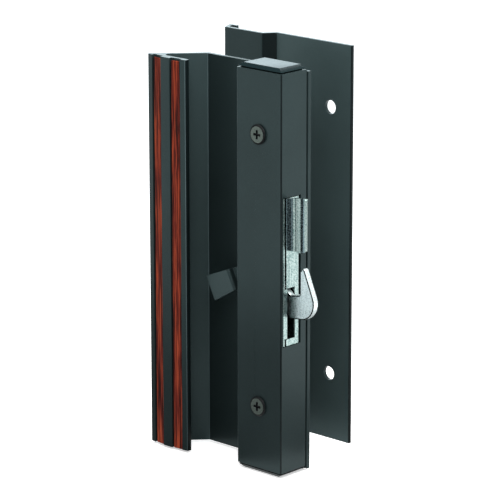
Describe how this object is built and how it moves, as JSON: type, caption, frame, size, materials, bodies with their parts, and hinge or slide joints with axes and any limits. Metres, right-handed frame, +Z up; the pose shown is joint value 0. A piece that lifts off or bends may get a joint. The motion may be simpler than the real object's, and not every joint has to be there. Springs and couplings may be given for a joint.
{
  "type": "latch handle",
  "caption": "Surface-mounted pull for a sliding door with a boxed hook latch, thumb lever, wood-grain strips and the flat pull for the door's outer face.",
  "frame": {"origin": "on the door's inner face, on the line of the mounting screws, at mid-height of the inside pull", "axes": "+X along the door towards the hook, +Y through the door towards its outer face, +Z up"},
  "size_m": [0.0946, 0.052, 0.1915],
  "materials": {
    "charcoal_paint": "satin charcoal powder coat",
    "wood_grain": "printed red-brown wood grain, satin",
    "black_plastic": "smooth black moulding",
    "zinc_sheet": "grained zinc coating",
    "bright_steel": "bright turned steel",
    "black_screw": "glossy black"
  },
  "bodies": {
    "handle": {"pull_extrusion": "charcoal_paint", "latch_cover": "charcoal_paint", "outside_pull": "charcoal_paint", "wood_strip_left": "wood_grain", "wood_strip_right": "wood_grain", "top_cap": "black_plastic", "bottom_cap": "black_plastic", "latch_frame": "zinc_sheet", "case_front_plate": "zinc_sheet", "screw_sleeve_upper": "bright_steel", "screw_sleeve_lower": "bright_steel", "case_post_1": "bright_steel", "case_post_2": "bright_steel", "case_post_3": "bright_steel", "case_post_4": "bright_steel", "pivot_pin": "bright_steel", "pivot_spacer": "bright_steel", "wave_washer": "bright_steel", "mounting_screw_upper": "black_screw", "mounting_screw_lower": "black_screw"},
    "latch": {"hook": "zinc_sheet", "thumb_lever": "charcoal_paint", "drive_rivet": "bright_steel"}
  },
  "joints": [
    {"name": "latch_pivot", "type": "hinge", "parent": "handle", "child": "latch", "pos_m": [0, -0.012, 0], "axis": [0, 1, 0], "range_deg": [0, 58]}
  ]
}
